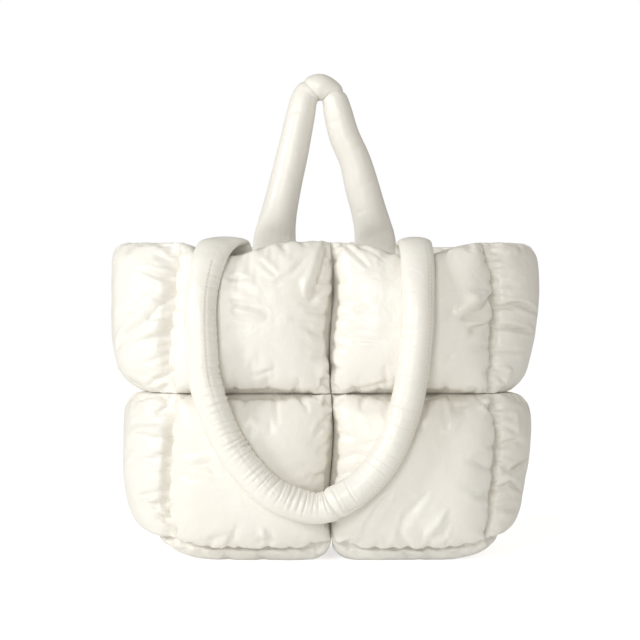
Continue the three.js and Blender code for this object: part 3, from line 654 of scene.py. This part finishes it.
# Straps, through the same sections as in the CAD model: lengths are shares of the panel's half width, of
# the way from the rim to where the strap hangs, of its drop and of its radius, and facing is in degrees.
# x, reach, drop, facing, wide, thick
FRONT_ROWS = [
    (-0.64, -0.24, 0.13, 180, 1.4, 0.3),
    (-0.644, -0.21, 0.09, 180, 1.36, 0.3),
    (-0.649, -0.18, 0.05, 165, 1.32, 0.31),
    (-0.662, -0.115, 0.012, 135, 1.28, 0.32),
    (-0.679, 0.03, -0.002, 92, 1.24, 0.34),
    (-0.718, 0.22, 0.006, 72, 1.18, 0.38),
    (-0.754, 0.43, 0.028, 48, 1.12, 0.47),
    (-0.787, 0.61, 0.08, 28, 1.06, 0.6),
    (-0.813, 0.69, 0.145, 14, 1.03, 0.76),
    (-0.828, 0.76, 0.215, 6, 1, 0.9),
    (-0.832, 0.82, 0.3, 0, 1, 1),
    (-0.823, 0.86, 0.4, 0, 1, 1),
    (-0.805, 0.89, 0.51, 0, 1, 1),
    (-0.746, 0.94, 0.628, 0, 1, 1),
    (-0.658, 0.98, 0.747, 0, 1.02, 1),
    (-0.537, 1.01, 0.853, 0, 1.02, 1),
    (-0.376, 1.01, 0.942, 0, 1, 1),
    (-0.219, 0.98, 0.986, 0, 1, 1),
    (-0.068, 0.96, 1, 0, 0.94, 1),
    (0.049, 0.97, 0.97, 0, 1, 1),
    (0.171, 0.97, 0.925, 0, 1, 1),
    (0.303, 0.98, 0.843, 0, 1, 1),
    (0.397, 0.97, 0.747, 0, 1, 1),
    (0.469, 0.938, 0.62, 0, 1, 1),
    (0.51, 0.918, 0.493, 0, 1, 1),
    (0.533, 0.908, 0.374, 0, 1, 1),
    (0.547, 0.888, 0.27, 0, 1, 0.96),
    (0.55, 0.818, 0.19, 6, 1.02, 0.84),
    (0.549, 0.728, 0.12, 14, 1.04, 0.68),
    (0.547, 0.598, 0.062, 28, 1.03, 0.56),
    (0.543, 0.428, 0.024, 48, 1.04, 0.47),
    (0.54, 0.228, 0.005, 72, 1.06, 0.41),
    (0.537, 0.028, 0.004, 92, 1.09, 0.37),
    (0.537, -0.1, 0.018, 130, 1.12, 0.35),
    (0.537, -0.165, 0.05, 165, 1.16, 0.33),
    (0.537, -0.21, 0.09, 180, 1.22, 0.31),
    (0.537, -0.24, 0.13, 180, 1.3, 0.3),
]
# The same of the standing strap, with its rise and its inset from the wall, a share of its diameter.
# x, rise, inset, wide, thick
REAR_ROWS = [
    (-0.391, -0.18, 0.426, 1.46, 0.3),
    (-0.391, -0.1, 0.346, 1.46, 0.32),
    (-0.389, -0.02, 0.286, 1.45, 0.36),
    (-0.383, 0.06, 0.286, 1.4, 0.5),
    (-0.371, 0.14, 0.286, 1.27, 0.8),
    (-0.353, 0.23, 0.286, 1.18, 0.98),
    (-0.315, 0.38, 0.286, 1.11, 1.04),
    (-0.274, 0.545, 0.286, 1.07, 1.04),
    (-0.237, 0.7, 0.286, 1.01, 1.02),
    (-0.202, 0.845, 0.286, 0.94, 1),
    (-0.186, 0.915, 0.286, 0.88, 0.96),
    (-0.155, 0.968, 0.286, 0.84, 0.88),
    (-0.078, 1, 0.306, 0.9, 0.98),
    (0, 0.968, 0.286, 0.82, 0.86),
    (0.031, 0.915, 0.286, 0.86, 0.94),
    (0.049, 0.845, 0.286, 0.96, 1),
    (0.093, 0.7, 0.286, 1.03, 1.02),
    (0.165, 0.545, 0.286, 1.05, 1.04),
    (0.217, 0.38, 0.286, 1.13, 1.04),
    (0.263, 0.23, 0.286, 1.16, 0.98),
    (0.287, 0.14, 0.286, 1.24, 0.8),
    (0.303, 0.06, 0.286, 1.36, 0.5),
    (0.309, -0.02, 0.286, 1.42, 0.36),
    (0.311, -0.1, 0.346, 1.43, 0.32),
    (0.311, -0.18, 0.426, 1.43, 0.3),
]


def front_sections():
    rim = panel_y("top", FRONT)
    face = BASE_DEPTH / 2 + SEAM_THICKNESS / 2 + PANEL_CROWN * STRAP_PRESS
    hang = -(face + STRAP_CLEARANCE + STRAP_DIAMETER / 2)
    out = []
    for x, reach, drop, facing, wide, thick in FRONT_ROWS:
        at = (x * PANEL_WIDTH / 2, mix(rim, hang, reach), BODY_HEIGHT - drop * FRONT_STRAP_DROP)
        out.append((*at, facing, wide, thick))
    return np.array(out)


def rear_sections():
    back = panel_y("top", BACK)
    out = []
    for x, rise, inset, wide, thick in REAR_ROWS:
        height = BODY_HEIGHT + rise * REAR_STRAP_RISE
        at = (x * PANEL_WIDTH / 2, back - inset * STRAP_DIAMETER, height)
        out.append((*at, 0, wide, thick))
    return np.array(out)


def spline(rows, step):
    """Rows read every step millimetres along a centripetal Catmull-Rom curve through them."""
    pieces = 24
    gaps = np.linalg.norm(np.diff(rows[:, :3], axis=0), axis=1) ** 0.5
    knots = np.concatenate([[0], np.cumsum(gaps)])
    full = np.vstack([2 * rows[0] - rows[1], rows, 2 * rows[-1] - rows[-2]])
    k = np.concatenate([[knots[0] - gaps[0]], knots, [knots[-1] + gaps[-1]]])
    out = []
    for i in range(1, len(full) - 2):
        t = np.linspace(k[i], k[i + 1], pieces, endpoint=i == len(full) - 3)[:, None]
        p0, p1, p2, p3 = full[i - 1 : i + 3]
        k0, k1, k2, k3 = k[i - 1 : i + 3]
        a1 = (k1 - t) / (k1 - k0) * p0 + (t - k0) / (k1 - k0) * p1
        a2 = (k2 - t) / (k2 - k1) * p1 + (t - k1) / (k2 - k1) * p2
        a3 = (k3 - t) / (k3 - k2) * p2 + (t - k2) / (k3 - k2) * p3
        b1 = (k2 - t) / (k2 - k0) * a1 + (t - k0) / (k2 - k0) * a2
        b2 = (k3 - t) / (k3 - k1) * a2 + (t - k1) / (k3 - k1) * a3
        out.append((k2 - t) / (k2 - k1) * b1 + (t - k1) / (k2 - k1) * b2)
    dense = np.vstack(out)
    d = np.concatenate([[0], np.cumsum(np.linalg.norm(np.diff(dense[:, :3], axis=0), axis=1))])
    count = int(d[-1] / step) + 1
    at = np.linspace(0, d[-1], count)
    return at, np.stack([np.interp(at, d, dense[:, c]) for c in range(dense.shape[1])], axis=1)


def tube_frames(rows):
    """Middle line, its tangent, the way out to the strap's face and the way across it."""
    line = rows[:, :3]
    tangent = normed(np.gradient(line, axis=0))
    turn = np.radians(rows[:, 3])
    out = vec(0 * turn, -np.cos(turn), np.sin(turn))
    out = normed(out - (out * tangent).sum(1, keepdims=True) * tangent)
    return line, tangent, out, np.cross(out, tangent)


def creases(rng, start, end, spacing, strength):
    """Places of cross creases along a strap: place, depth, width, slant."""
    out, at = [], start
    while at < end:
        out.append((at, strength * rng.uniform(0.35, 1), rng.uniform(0.8, 1.5), rng.uniform(-3, 3)))
        at += spacing * rng.uniform(0.6, 1.5)
    return out


def band(angle, middle, half, soft):
    """1 inside a band of angles round the strap, falling to 0 at its edges."""
    d = np.abs((angle - middle + np.pi) % (2 * np.pi) - np.pi)
    return 1 - smooth((d - half) / soft + 0.5)


def crease_field(at, angle, table, middle, half, soft):
    """Millimetres that a table of creases moves the strap's skin, inside one band of angles in degrees."""
    total = 0 * at * angle
    for place, depth, width, slant in table:
        near = np.flatnonzero(np.abs(at[:, 0] - place) < 14)
        if len(near):
            d = np.abs(at[near] - place - slant * np.sin(angle)) / width
            total[near] += depth * furrow(d, 1.2, 0.3, 2.2)
    return total * band(angle, *(math.radians(a) for a in (middle, half, soft)))


# Where the front strap's long seam runs round it: share of its length, degrees
SEAM_ROUTE = ((0, 68), (0.42, 68), (0.5, 100), (0.56, 140), (0.66, 142), (0.75, 133), (1, 131))
JOINT_PLACE = 0.531  # of the joint between the front strap's two halves, at its bottom
# Runs of creases: first and last share of the length, spacing, strength, then the middle and half of
# their band in degrees
FRONT_CREASES = (
    (0.12, 0.28, 7, 0.7, 30, 42),
    (0.26, 0.40, 6, 1.3, 25, 55),
    (0.30, 0.53, 7, 1.3, 60, 50),
    (0.36, 0.53, 8, 1.1, 10, 50),
    (0.54, 0.70, 14, 0.7, 70, 60),
    (0.70, 0.90, 26, 0.5, 60, 50),
)
# The rear strap is tied in on both sides of its top: share of the length, depth, slant
REAR_TIES = ((0.478, 2.2, -3.0), (0.533, 2.2, 3.0))
# Single creases: share of the length, depth, width, slant, middle of their band in degrees
REAR_CREASES = (
    (0.598, 0.6, 2.6, 4, 130),
    (0.645, 0.5, 2.2, -5, 150),
    (0.672, 0.7, 2.6, 5, 40),
    (0.845, 0.6, 2.4, -5, 120),
    (0.40, 0.4, 2.6, 5, 60),
    (0.25, 0.35, 2.6, -6, 120),
    (0.33, 0.3, 2.2, 6, 80),
    (0.76, 0.4, 2.6, 6, 60),
)
REAR_FEET = (0.085, 0.915)  # shares of the length where the rear strap's flat ends begin


def seam_angle(share):
    places, degrees = zip(*SEAM_ROUTE)
    return np.radians(np.interp(share, places, degrees))


def front_shape(at, angle, total):
    """Millimetres that the front strap's skin stands off its plain tube."""
    rng = np.random.default_rng(7)
    extra = 0.25 * np.sin(at / 17 + 1) * np.sin(angle + at / 40) + 0.25 * np.sin(at / 29 + angle * 2)
    for first, last, spacing, strength, middle, half in FRONT_CREASES:
        table = creases(rng, first * total, last * total, spacing, strength)
        extra = extra + crease_field(at, angle, table, middle, half, 50)
    joint = np.abs(at - JOINT_PLACE * total + 2 * np.cos(angle)) / 1.6
    extra = extra - 1.5 * np.exp(-(joint**1.2)) + 0.7 * np.exp(-(((joint - 4) / 2.6) ** 2))
    away = (angle - seam_angle(at / total) + np.pi) % (2 * np.pi) - np.pi
    return extra - 0.45 * np.exp(-((np.abs(away) * STRAP_DIAMETER / 2 / 0.9) ** 1.4))


def rear_shape(at, angle, total):
    """Millimetres that the rear strap's skin stands off its plain tube."""
    extra = 0.3 * np.sin(at / 19) * np.sin(angle + at / 33) + 0.25 * np.sin(at / 27 + angle * 2)
    for share, depth, slant in REAR_TIES:
        d = np.abs(at - share * total - slant * np.cos(angle)) / 1.9
        extra = extra - depth * np.exp(-(d**1.2))
    for share, depth, width, slant, middle in REAR_CREASES:
        table = [(share * total, depth, width, slant)]
        extra = extra + crease_field(at, angle, table, middle, 20, 70)
    pleats = np.abs(np.sin(7 * angle + 1.3 * np.sin(3 * angle))) ** 0.7 - 0.6
    for past in (at - REAR_FEET[0] * total, REAR_FEET[1] * total - at):
        extra = extra + 0.9 * pleats * np.exp(-(((past - 2) / 16).clip(0) ** 1.5))
    return extra


def strap_surface(rows, step, around, shape):
    """Places along the strap, and there its skin's points round it."""
    at, rows = spline(rows, step)
    line, tangent, out, across = tube_frames(rows)
    angle = np.linspace(0, 2 * np.pi, around, endpoint=False)[None, :]
    extra = shape(at[:, None], angle, at[-1])
    a, b = rows[:, 4:5] * STRAP_DIAMETER / 2, rows[:, 5:6] * STRAP_DIAMETER / 2
    extra = extra * smooth((b / (STRAP_DIAMETER / 2) - 0.3) / 0.35)  # none where it is sewn flat
    p = line[:, None] + across[:, None] * (np.cos(angle) * (a + extra))[..., None]
    return at, p + out[:, None] * (np.sin(angle) * (b + extra * np.minimum(1, b / a)))[..., None]


def build_strap(name, p):
    """A closed tube from rows of points round it."""
    n, m = p.shape[:2]
    i, j = np.meshgrid(np.arange(n - 1), np.arange(m), indexing="ij")
    k = (j + 1) % m
    corners = [i * m + j, i * m + k, (i + 1) * m + k, (i + 1) * m + j]
    faces = np.stack(corners, axis=-1).reshape(-1, 4).tolist()
    faces.append(list(range(m - 1, -1, -1)))
    faces.append([(n - 1) * m + j for j in range(m)])
    return new_object(name + "_skin", placed(p.reshape(-1, 3)), faces)


STITCH_LENGTH, STITCH_PITCH, STITCH_RADIUS = 2.9, 4.1, 0.36
STITCH_RINGS, STITCH_SIDES = 4, 6


def build_stitches(name, at, p, angles, first, last):
    """Thread dashes along a line on the strap, each a small rounded bar."""
    m = p.shape[1]
    place = (angles / (2 * np.pi) * m) % m
    low = place.astype(int)
    share = (place - low)[:, None]
    rows = np.arange(len(p))
    track = p[rows, low] * (1 - share) + p[rows, (low + 1) % m] * share
    middle = p.mean(axis=1)

    def read(line, s):
        return np.stack([np.interp(s, at, line[:, k]) for k in range(3)], axis=1)

    turns = [k * 2 * math.pi / STITCH_SIDES for k in range(STITCH_SIDES)]
    points, faces = [], []
    for start in np.arange(first * at[-1], last * at[-1], STITCH_PITCH):
        s = np.linspace(start, start + STITCH_LENGTH, STITCH_RINGS)
        c = read(track, s)
        out = normed(c - read(middle, s))
        side_way = normed(np.cross(unit(*(c[-1] - c[0])), out))
        c = c + out * 0.12
        b = len(points)
        for k in range(STITCH_RINGS):
            r = STITCH_RADIUS * (0.55 if k in (0, STITCH_RINGS - 1) else 1)
            points += [c[k] + r * (math.cos(a) * side_way[k] + math.sin(a) * out[k]) for a in turns]
        for k in range(STITCH_RINGS - 1):
            for a in range(STITCH_SIDES):
                n0, n1 = (b + k * STITCH_SIDES + i % STITCH_SIDES for i in (a, a + 1))
                faces.append((n0, n1, n1 + STITCH_SIDES, n0 + STITCH_SIDES))
        faces.append(tuple(range(b + STITCH_SIDES - 1, b - 1, -1)))
        faces.append(tuple(range(len(points) - STITCH_SIDES, len(points))))
    return new_object(name, placed(np.array(points)), faces)


ROWS, HALVES = ("mid", "base"), (LEFT, RIGHT)
PUFFS = [panel(face, half, level) for level in ROWS for face in (FRONT, BACK) for half in HALVES]
PUFFS += [side(which, level) for level in ROWS for which in HALVES]
PUFFS += [bottom(half) for half in HALVES]


# Materials
def nylon(name, colour, rough, sheen=0.1, bumpy=1.0):
    """Shiny woven nylon: faint colour drift, soft crinkles and a fine weave."""
    mat = bpy.data.materials.new(name)
    mat.use_nodes = True
    nodes, links = mat.node_tree.nodes, mat.node_tree.links
    shader = nodes["Principled BSDF"]
    shader.inputs["Specular IOR Level"].default_value = 0.5
    shader.inputs["Sheen Weight"].default_value = sheen
    shader.inputs["Sheen Roughness"].default_value = 0.4
    place = nodes.new("ShaderNodeTexCoord").outputs["Object"]

    def noise(scale, detail, distortion=0.0):
        n = nodes.new("ShaderNodeTexNoise")
        n.inputs["Scale"].default_value = scale
        n.inputs["Detail"].default_value = detail
        n.inputs["Distortion"].default_value = distortion
        links.new(place, n.inputs["Vector"])
        return n.outputs["Fac"]

    def ramp(source, stops):
        r = nodes.new("ShaderNodeValToRGB")
        for element, (at, tint) in zip(r.color_ramp.elements, stops):
            element.position, element.color = at, (*tint, 1)
        links.new(source, r.inputs["Fac"])
        return r.outputs["Color"]

    def scaled(source, low, high):
        n = nodes.new("ShaderNodeMapRange")
        n.inputs["To Min"].default_value, n.inputs["To Max"].default_value = low, high
        links.new(source, n.inputs["Value"])
        return n.outputs["Result"]

    worn = tuple(c * k for c, k in zip(colour, (0.975, 0.968, 0.95)))
    links.new(ramp(noise(9, 3), ((0.35, worn), (0.65, colour))), shader.inputs["Base Color"])
    links.new(scaled(noise(26, 2), rough - 0.06, rough + 0.06), shader.inputs["Roughness"])

    def bump(height, distance, strength, below=None):
        b = nodes.new("ShaderNodeBump")
        b.inputs["Distance"].default_value = distance
        b.inputs["Strength"].default_value = strength
        links.new(height, b.inputs["Height"])
        if below:
            links.new(below, b.inputs["Normal"])
        return b.outputs["Normal"]

    def wave(direction):
        w = nodes.new("ShaderNodeTexWave")
        w.bands_direction = direction
        w.inputs["Scale"].default_value = 430
        w.inputs["Distortion"].default_value = 0.6
        links.new(place, w.inputs["Vector"])
        return w.outputs["Fac"]

    ridged = nodes.new("ShaderNodeMath")
    ridged.operation = "PINGPONG"
    ridged.inputs[1].default_value = 0.5
    links.new(noise(42, 4, 0.5), ridged.inputs[0])
    both = nodes.new("ShaderNodeMath")
    both.operation = "MULTIPLY"
    links.new(wave("X"), both.inputs[0])
    links.new(wave("Z"), both.inputs[1])
    # Soft crinkles, then sharper ones, then the weave
    normal = bump(noise(24, 2, 0.3), 0.004, 0.25 * bumpy)
    normal = bump(ridged.outputs[0], 0.0025, 0.5 * bumpy, normal)
    normal = bump(both.outputs[0], 0.00005, 0.5, normal)
    links.new(normal, shader.inputs["Normal"])
    return mat


IVORY, THREAD = (0.87, 0.85, 0.79), (0.72, 0.66, 0.52)
skin = nylon("ivory_nylon", IVORY, 0.31)
thread = nylon("ivory_thread", THREAD, 0.6, 0.2, 0.3)

surfaces = {
    "front_strap": strap_surface(front_sections(), 1.0, 96, front_shape),
    "rear_strap": strap_surface(rear_sections(), 1.1, 80, rear_shape),
}
strap_tubes = []
for sections in (front_sections(), rear_sections()):
    _, rows = spline(sections, 3)
    strap_tubes.append((*tube_frames(rows), *(rows[:, 4:6].T * STRAP_DIAMETER / 2)))

for order, puff in enumerate(PUFFS):
    is_side = "side" in puff["name"]
    cells = FINE_CELLS if is_side or puff["name"].startswith("front") else COARSE_CELLS
    start, growth = (0.62, 0.14) if is_side else (0.7, 0.1)
    obj = build_puff(puff, order, strap_tubes, cells, start, growth)
    obj.data.materials.append(skin)
    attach(obj, "root")
    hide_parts(puff["name"])

for name, (at, surface) in surfaces.items():
    obj = build_strap(name, surface)
    obj.data.materials.append(skin)
    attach(obj, "root")
    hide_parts(name)

at, surface = surfaces["front_strap"]
for side_name, first, last in (("left", 0.12, 0.285), ("right", 0.54, 0.88)):
    line = seam_angle(at / at[-1]) + 0.1
    dashes = build_stitches("front_strap_stitches_" + side_name, at, surface, line, first, last)
    dashes.data.materials.append(thread)
    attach(dashes, "root")

# Stage
scene = bpy.context.scene


def joined(tree, kind, *sources):
    """A new node's first output, with the sources on its inputs in order."""
    node = tree.nodes.new(kind)
    for k, source in enumerate(sources):
        tree.links.new(source, node.inputs[k])
    return node.outputs[0]


def build_floor():
    """White paper that looks as bright as the backdrop, and gives less light than it shows."""
    corners = np.array([(x, y, -0.0002) for x, y in ((-8, -8), (8, -8), (8, 8), (-8, 8))])
    floor = new_object("floor", corners, [(0, 1, 2, 3)])
    paper = bpy.data.materials.new("floor")
    paper.use_nodes = True
    tree = paper.node_tree
    shader = tree.nodes["Principled BSDF"]
    shader.inputs["Base Color"].default_value = (0.94, 0.94, 0.94, 1)
    shader.inputs["Roughness"].default_value = 0.9
    shader.inputs["Specular IOR Level"].default_value = 0.1
    path, glow = tree.nodes.new("ShaderNodeLightPath"), tree.nodes.new("ShaderNodeEmission")
    strength = tree.nodes.new("ShaderNodeMapRange")
    strength.inputs["To Min"].default_value = 0.22
    tree.links.new(path.outputs["Is Camera Ray"], strength.inputs["Value"])
    tree.links.new(strength.outputs["Result"], glow.inputs["Strength"])
    glow.inputs["Color"].default_value = (0.62, 0.62, 0.62, 1)
    both = joined(tree, "ShaderNodeAddShader", shader.outputs[0], glow.outputs[0])
    tree.links.new(both, tree.nodes["Material Output"].inputs["Surface"])
    floor.data.materials.append(paper)
    return floor


def build_backdrop():
    """Shows white to the camera and lights the bag with a dimmer, warmer tone."""
    world = bpy.data.worlds.new("studio")
    scene.world = world
    world.use_nodes = True
    tree = world.node_tree
    ambient, white = tree.nodes["Background"], tree.nodes.new("ShaderNodeBackground")
    for node, tint, strength in ((ambient, (1, 0.965, 0.9, 1), 0.44), (white, (1, 1, 1, 1), 1.0)):
        node.inputs["Color"].default_value = tint
        node.inputs["Strength"].default_value = strength
    path = tree.nodes.new("ShaderNodeLightPath").outputs["Is Camera Ray"]
    blend = joined(tree, "ShaderNodeMixShader", path, ambient.outputs[0], white.outputs[0])
    tree.links.new(blend, tree.nodes["World Output"].inputs["Surface"])


def add_area(name, where, size, watts):
    """A square lamp that faces the middle of the bag."""
    light = bpy.data.lights.new(name, "AREA")
    light.shape = "RECTANGLE"
    light.size = light.size_y = size
    light.energy = watts
    light.color = (0.985, 0.99, 1.0)
    obj = bpy.data.objects.new(name, light)
    obj.location = where
    aim = Vector((0, 0, 0.25)) - Vector(where)
    obj.rotation_euler = aim.to_track_quat("-Z", "Y").to_euler()
    scene.collection.objects.link(obj)


def add_camera():
    """The photograph's view: level, from straight in front, a little above the bag's middle."""
    camera = bpy.data.cameras.new("camera")
    camera.sensor_width = 36
    camera.lens = 92
    obj = bpy.data.objects.new("camera", camera)
    obj.location = (-0.006, -1.8576, 0.2662)
    obj.rotation_euler = (math.pi / 2, 0, 0)
    scene.collection.objects.link(obj)
    scene.camera = obj


floor = build_floor()
build_backdrop()
add_area("key", (-2.6, -1.55, 1.3), 0.6, 38)
add_area("front", (-0.9, -3.0, 1.1), 0.9, 29)
add_camera()
scene.view_settings.view_transform = "Standard"
